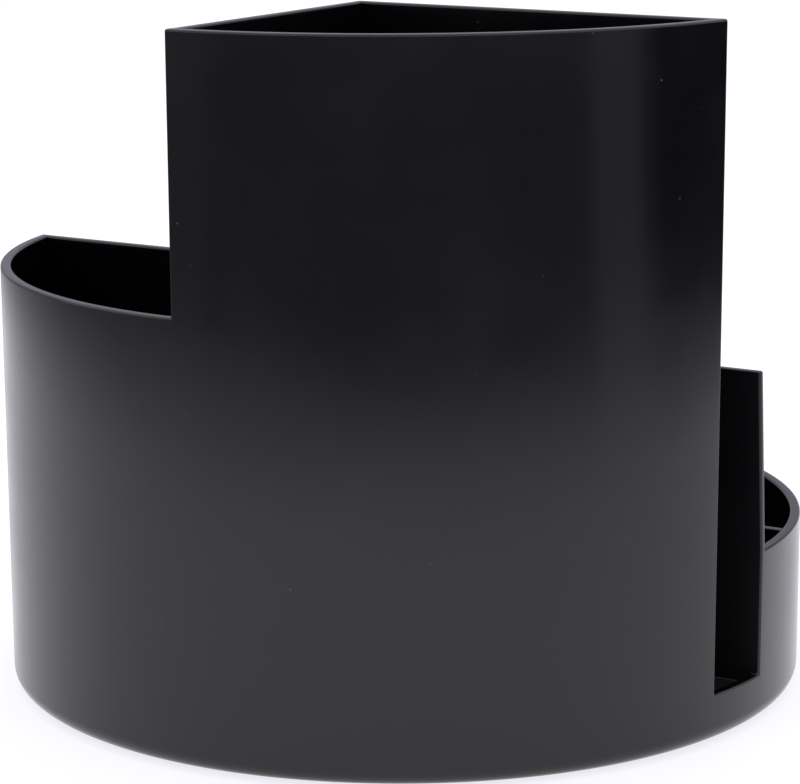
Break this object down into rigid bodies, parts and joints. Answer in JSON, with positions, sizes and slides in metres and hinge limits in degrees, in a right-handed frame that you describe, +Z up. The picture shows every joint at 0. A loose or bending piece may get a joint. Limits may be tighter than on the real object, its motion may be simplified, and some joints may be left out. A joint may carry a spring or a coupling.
{
  "type": "desk organizer",
  "caption": "Round black plastic desk organizer with a tall pen cup, a lower side cup, a card slot across the middle and a low divided tray.",
  "frame": {"origin": "on the drum's axis, at the surface the organizer stands on", "axes": "+Z up; +X along the slot, from the side cup's side to the pen cup's side; +Y across the slot, from the pen cup to the tray"},
  "size_m": [0.1402, 0.1406, 0.1205],
  "materials": {
    "body_plastic": "black moulded plastic with a satin sheen and a very fine moulded grain",
    "pad_rubber": "matt black non-slip rubber"
  },
  "bodies": {
    "root": {"pen_cup_outer_wall": "body_plastic", "side_cup_outer_wall": "body_plastic", "tray_outer_wall": "body_plastic", "slot_lip_right": "body_plastic", "slot_lip_left": "body_plastic", "pen_cup_back_wall": "body_plastic", "side_cup_back_wall": "body_plastic", "pen_cup_side_wall": "body_plastic", "slot_wall": "body_plastic", "tray_divider": "body_plastic", "cup_floor": "body_plastic", "tray_floor": "body_plastic", "slot_floor": "body_plastic", "foot_pad_1": "pad_rubber", "foot_pad_2": "pad_rubber", "foot_pad_3": "pad_rubber", "foot_pad_4": "pad_rubber"}
  },
  "joints": []
}
